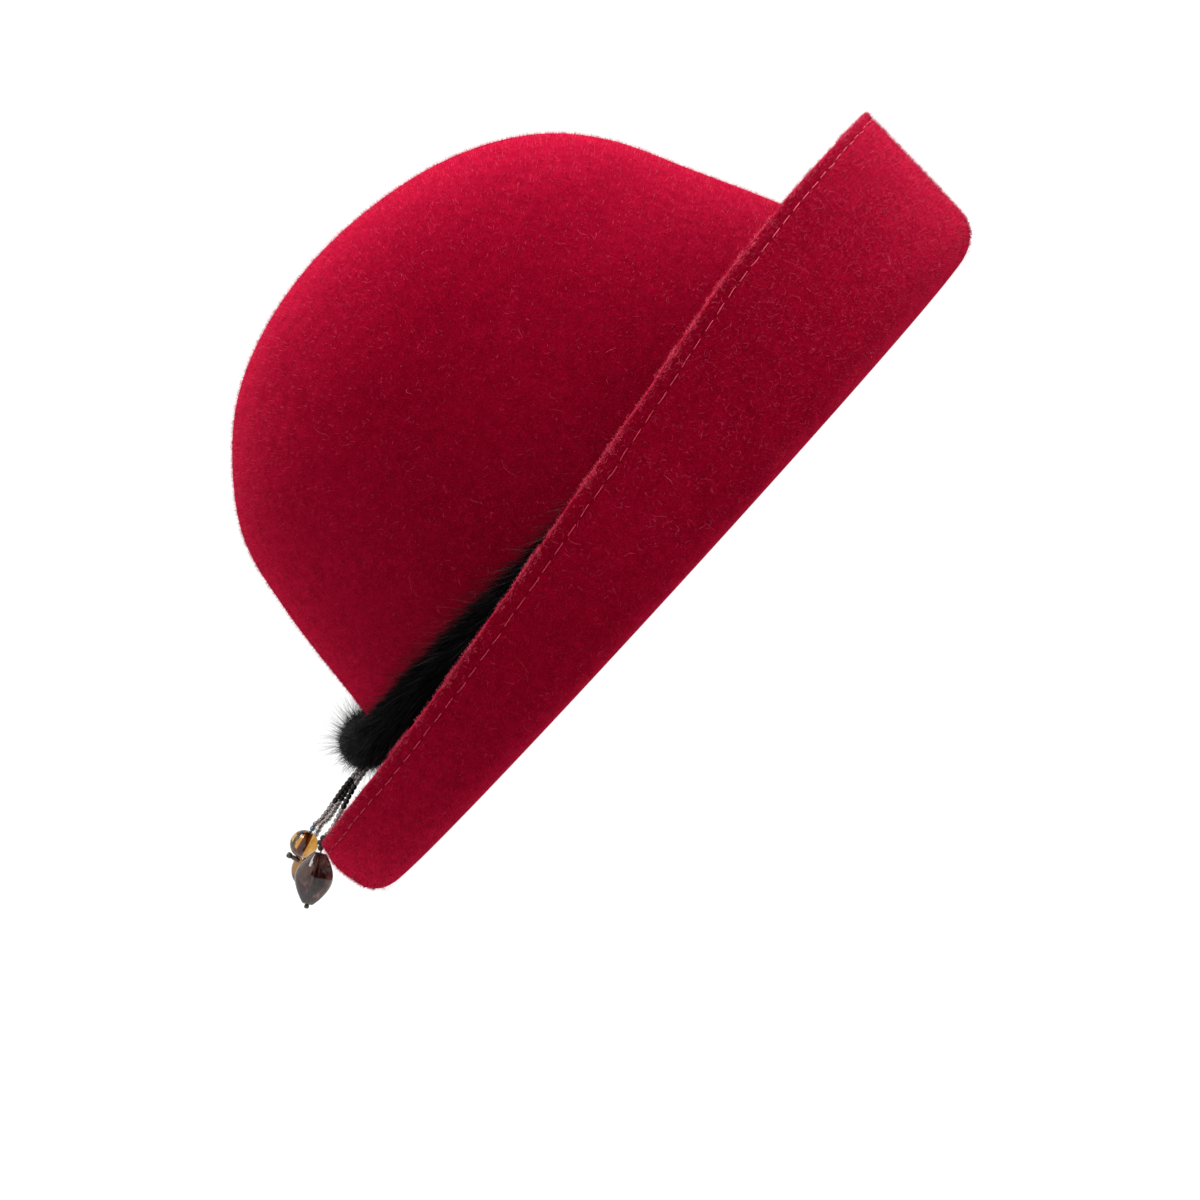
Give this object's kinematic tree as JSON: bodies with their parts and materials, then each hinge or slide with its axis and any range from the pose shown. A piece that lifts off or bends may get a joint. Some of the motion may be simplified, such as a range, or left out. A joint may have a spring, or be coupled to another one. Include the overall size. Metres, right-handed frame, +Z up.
{
  "type": "cloche hat",
  "caption": "Red felt cloche hat with a rounded hollow crown, a wide brim turned up all round, a roll of black fur along the crown and bead strings over the back of the brim.",
  "frame": {"origin": "middle of the whole hat's box in plan, on the flat floor of the brim that the hat stands on", "axes": "+X towards the front of the hat, +Y towards the wearer's left, +Z up"},
  "size_m": [0.277, 0.23, 0.1357],
  "materials": {
    "felt": "napped wool felt",
    "fur": "short dense fur",
    "seed_beads": "polished",
    "amber_glass": "polished",
    "smoky_glass": "polished"
  },
  "bodies": {
    "root": {"crown": "felt", "brim": "felt", "fur_trim": "fur", "strand_round": "seed_beads", "strand_oval": "seed_beads", "strand_nugget": "seed_beads", "bead_round": "amber_glass", "bead_oval": "amber_glass", "bead_nugget": "smoky_glass"}
  },
  "joints": []
}
